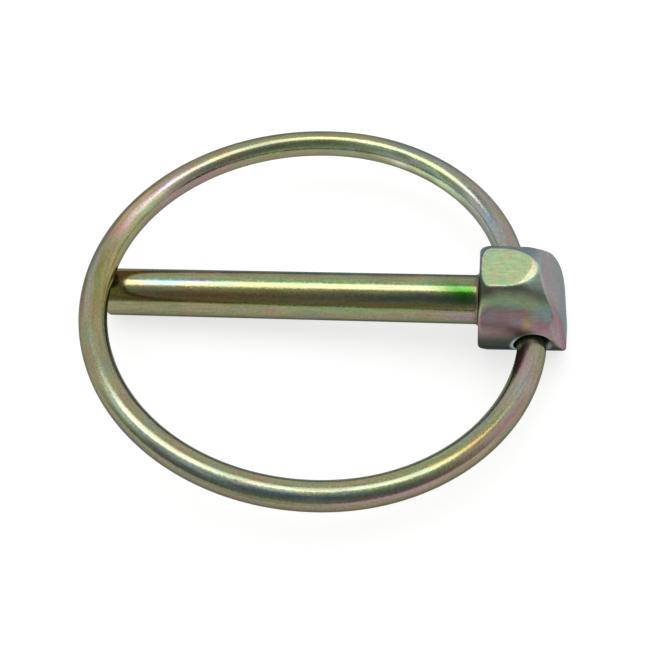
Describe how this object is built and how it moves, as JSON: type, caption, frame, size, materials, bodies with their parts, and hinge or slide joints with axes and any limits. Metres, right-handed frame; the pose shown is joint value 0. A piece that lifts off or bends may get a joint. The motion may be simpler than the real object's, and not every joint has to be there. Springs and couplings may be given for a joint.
{
  "type": "lynch pin",
  "caption": "Round pin with a flatted head and a sprung wire ring hinged in it, which snaps over and under the pin's end to hold it in a cross hole",
  "frame": {"origin": "on the shank's axis, at the head's shoulder", "axes": "+X along the pin towards the head's outer end; +Z square to the head's two flats, towards the side of the shank that the closed ring lies over"},
  "size_m": [0.0442, 0.044, 0.0087],
  "materials": {
    "pin_plate": "steel with a yellow iridescent zinc plating, satin",
    "ring_plate": "spring steel wire with a yellow iridescent zinc plating, satin"
  },
  "bodies": {
    "pin": {"pin": "pin_plate"},
    "ring": {"spring_ring": "ring_plate"}
  },
  "joints": [
    {"name": "ring_hinge", "type": "hinge", "parent": "pin", "child": "ring", "pos_m": [0.0038, 0, -0.0007], "axis": [-0.1811, 0.9833, 0.0203], "range_deg": [0, 180]}
  ]
}
